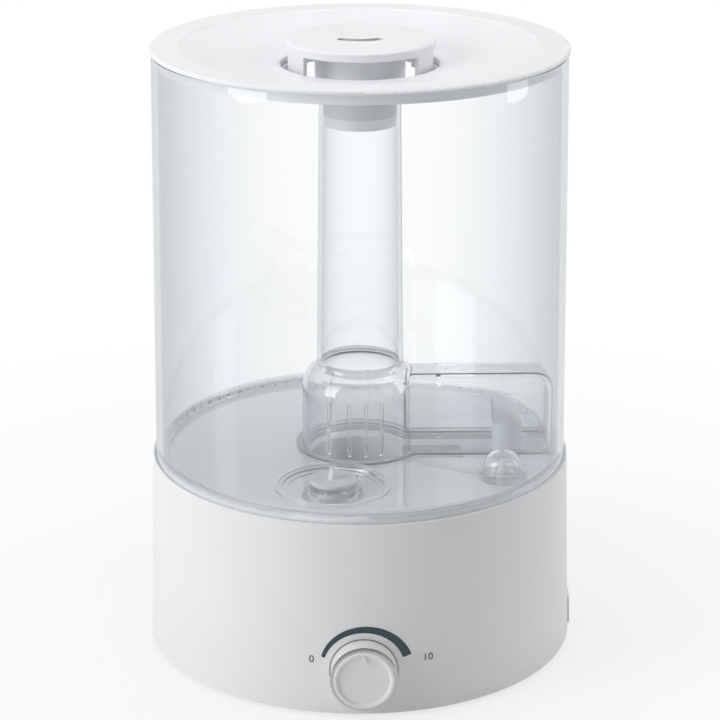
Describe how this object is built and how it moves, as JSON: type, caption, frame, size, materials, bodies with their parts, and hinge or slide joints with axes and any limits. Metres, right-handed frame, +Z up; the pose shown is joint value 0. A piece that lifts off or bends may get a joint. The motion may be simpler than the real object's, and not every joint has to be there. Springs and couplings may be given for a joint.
{
  "type": "cool mist humidifier",
  "caption": "Top-fill cool mist humidifier: a clear tank with a central mist flue and a dished lid on a round white base with a dial.",
  "frame": {"origin": "on the surface it stands on, on the axis of the round body", "axes": "+Z up along the body's axis; the dial faces -Y; the power inlet and the tank's air duct are at +X"},
  "size_m": [0.2246, 0.2341, 0.3203],
  "materials": {
    "white_plastic": "satin",
    "knob_plastic": "semi-gloss",
    "inner_white_plastic": "matt",
    "clear_plastic": "clear, polished",
    "silicone": "translucent, matt",
    "grey_silicone": "matt",
    "foot_rubber": "matt",
    "chrome_trim": "polished",
    "steel": "bright",
    "disc_metal": "bright",
    "fan_plastic": "matt",
    "black_plastic": "satin",
    "circuit_board": "solder resist",
    "heat_sink_metal": "extruded",
    "capacitor_sleeve": "gloss",
    "coil_copper": "enamelled",
    "pin_metal": "plated",
    "float_plastic": "matt",
    "magnet": "dull"
  },
  "bodies": {
    "base": {"base_shell": "white_plastic", "bottom_cover": "white_plastic", "rubber_feet": "foot_rubber", "cover_screws": "steel", "water_tray": "inner_white_plastic", "air_snorkel": "inner_white_plastic", "valve_lift_pin": "inner_white_plastic", "mist_disc": "disc_metal", "disc_seal": "silicone", "disc_holder": "inner_white_plastic", "holder_screws": "steel", "fan_frame": "fan_plastic", "fan_duct": "inner_white_plastic", "driver_board": "circuit_board", "board_screws": "steel", "heat_sink": "heat_sink_metal", "power_transistor": "black_plastic", "driver_coil": "coil_copper", "capacitors": "capacitor_sleeve", "dial_control": "steel", "dial_nut": "steel", "power_inlet_plate": "white_plastic", "power_jack": "black_plastic", "power_jack_pin": "pin_metal"},
    "knob": {"dial_shaft": "steel", "knob": "knob_plastic", "knob_ring": "chrome_trim"},
    "float": {"float_body": "float_plastic", "float_magnet": "magnet"},
    "fan": {"fan_rotor": "fan_plastic"},
    "tank": {"tank_shell": "clear_plastic", "tank_floor": "clear_plastic", "mist_tube": "clear_plastic", "valve_guide": "inner_white_plastic", "valve_spring": "steel"},
    "valve": {"valve_stem": "inner_white_plastic", "valve_seal": "silicone"},
    "lid": {"lid": "white_plastic"},
    "nozzle": {"nozzle_cap": "white_plastic", "nozzle_ring": "inner_white_plastic", "mist_sleeve": "inner_white_plastic", "sleeve_seal": "grey_silicone"}
  },
  "joints": [
    {"name": "knob_turn", "type": "hinge", "parent": "base", "child": "knob", "pos_m": [0, -0.112, 0.0245], "axis": [0, 1, 0], "range_deg": [-90, 75]},
    {"name": "float_rise", "type": "slide", "parent": "base", "child": "float", "axis": [0, 0, 1], "range_m": [0, 0.008]},
    {"name": "fan_spin", "type": "hinge", "parent": "base", "child": "fan", "pos_m": [0.06798, 0.008, 0.063], "axis": [0, 0, 1], "continuous": true},
    {"name": "tank_lift", "type": "slide", "parent": "base", "child": "tank", "axis": [0, 0, 1], "range_m": [0, 0.05]},
    {"name": "valve_shut", "type": "slide", "parent": "tank", "child": "valve", "axis": [0, 0, 1], "range_m": [-0.0015, 0], "deforming": ["valve_spring"]},
    {"name": "lid_lift", "type": "slide", "parent": "tank", "child": "lid", "axis": [0, 0, 1], "range_m": [0, 0.04]},
    {"name": "nozzle_turn", "type": "hinge", "parent": "lid", "child": "nozzle", "pos_m": [0, 0, 0.31], "axis": [0, 0, 1], "continuous": true}
  ],
  "couplings": [
    {"joint": "valve_shut", "follows": "tank_lift", "ratio": -0.03}
  ]
}
